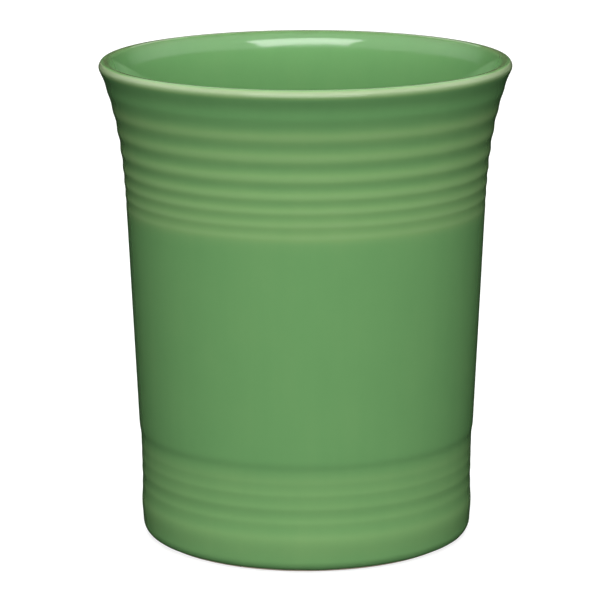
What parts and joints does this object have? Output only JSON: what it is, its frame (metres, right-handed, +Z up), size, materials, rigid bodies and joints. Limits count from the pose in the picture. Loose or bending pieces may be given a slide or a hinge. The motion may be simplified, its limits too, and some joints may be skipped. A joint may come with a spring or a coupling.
{
  "type": "brush pot",
  "caption": "Tall round ceramic pot with a flared rim, throwing rings near top and base, glossy green glaze and an unglazed foot ring, for standing brushes or pens in.",
  "frame": {"origin": "centre of the foot ring, on the surface the pot stands on", "axes": "+Z up along the pot's axis of turning, towards its mouth; X and Y are alike, because the pot is round"},
  "size_m": [0.1428, 0.1428, 0.168],
  "materials": {
    "fired_clay": "matte",
    "green_glaze": "gloss",
    "base_glaze": "gloss"
  },
  "bodies": {
    "root": {"clay_body": "fired_clay", "glaze_coat": "green_glaze", "base_glaze": "base_glaze"}
  },
  "joints": []
}
